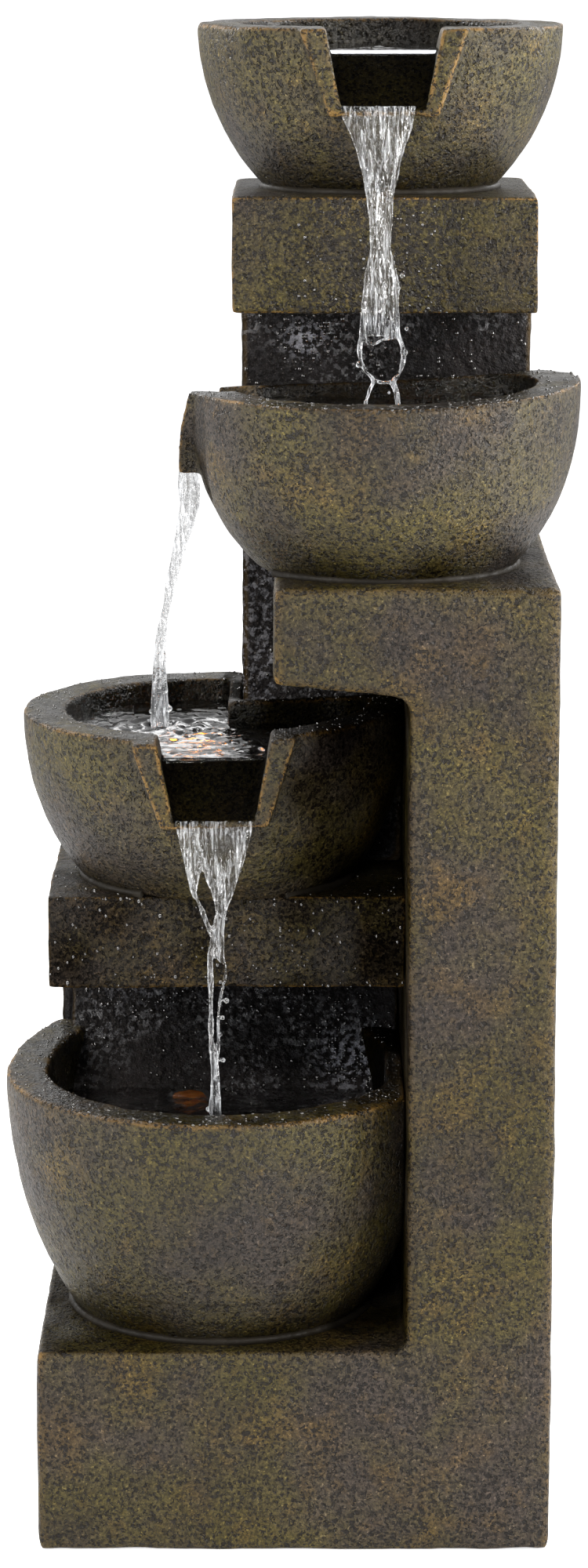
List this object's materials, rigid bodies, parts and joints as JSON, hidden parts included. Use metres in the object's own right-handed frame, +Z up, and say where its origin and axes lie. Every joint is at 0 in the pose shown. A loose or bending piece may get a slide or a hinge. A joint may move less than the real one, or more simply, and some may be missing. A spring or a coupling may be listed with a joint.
{
  "type": "tiered water fountain",
  "caption": "Free-standing cascading garden fountain: half-round bowls with spouts stepping down a C-shaped cast frame into a basin, with a hidden pump and lamps.",
  "frame": {"origin": "centre of the base's underside, on the surface it stands on", "axes": "+X to the right seen from the front, +Y to the back, +Z up"},
  "size_m": [0.384, 0.325, 1.001],
  "materials": {
    "cast_stone": "mottled olive-bronze, pitted, matt",
    "wet_stone": "dark wet rough stone",
    "sealant": "semi-gloss black sealant",
    "panel": "textured olive-brown",
    "steel": "brushed",
    "latch_grey": "satin",
    "rubber_black": "matt",
    "plug_rubber": "matt",
    "tank_plastic": "satin",
    "pump_plastic": "satin",
    "impeller_plastic": "satin",
    "dial_plastic": "gloss",
    "hose_clear": "translucent vinyl",
    "amber_lens": "amber, clear"
  },
  "bodies": {
    "fountain": {"front_frame": "cast_stone", "lower_wall": "wet_stone", "mid_block": "cast_stone", "rear_tower": "wet_stone", "top_block": "cast_stone", "bowl_top": "cast_stone", "bowl_second": "cast_stone", "bowl_third": "cast_stone", "bowl_basin": "cast_stone", "seal_top": "sealant", "seal_second": "sealant", "seal_third": "sealant", "seal_basin": "sealant", "rear_panel": "panel", "vent_panel": "panel", "door_frame": "panel", "panel_screws": "steel", "door_gasket": "rubber_black", "hinge_pins": "steel", "cord_gland": "rubber_black", "sump_cup": "tank_plastic", "intake_sleeve": "tank_plastic", "intake_screen": "pump_plastic", "drain_tube": "tank_plastic", "pump_housing": "pump_plastic", "pump_cover": "pump_plastic", "pump_seal_ring": "rubber_black", "pump_feet": "rubber_black", "pump_nozzle": "pump_plastic", "riser_hose": "hose_clear", "hose_clamps": "steel", "inlet_fitting": "pump_plastic", "inlet_nut": "pump_plastic", "inlet_gasket": "rubber_black", "outlet_cap": "pump_plastic", "lamp_body_second": "pump_plastic", "lamp_lens_second": "amber_lens", "lamp_ring_second": "pump_plastic", "lamp_body_third": "pump_plastic", "lamp_lens_third": "amber_lens", "lamp_ring_third": "pump_plastic", "lamp_body_basin": "pump_plastic", "lamp_lens_basin": "amber_lens", "lamp_ring_basin": "pump_plastic"},
    "impeller": {"pump_impeller": "impeller_plastic", "pump_shaft": "steel"},
    "dial": {"flow_dial": "dial_plastic"},
    "door": {"access_door": "panel"},
    "latch": {"door_latch": "latch_grey"},
    "plug": {"drain_plug": "plug_rubber"}
  },
  "joints": [
    {"name": "impeller_spin", "type": "hinge", "parent": "fountain", "child": "impeller", "pos_m": [0.1225, 0.085, 0.173], "axis": [0, 1, 0], "continuous": true},
    {"name": "dial_turn", "type": "hinge", "parent": "fountain", "child": "dial", "pos_m": [0.1225, 0.107, 0.159], "axis": [0, 1, 0], "range_deg": [0, 90]},
    {"name": "door_swing", "type": "hinge", "parent": "fountain", "child": "door", "pos_m": [0.152, 0.136, 0.37], "axis": [0, 0, -1], "range_deg": [0, 105]},
    {"name": "latch_turn", "type": "hinge", "parent": "door", "child": "latch", "pos_m": [0.103, 0.136, 0.37], "axis": [0, 1, 0], "range_deg": [0, 90]},
    {"name": "plug_pull", "type": "slide", "parent": "fountain", "child": "plug", "axis": [0, 1, 0], "range_m": [0, 0.03]}
  ]
}
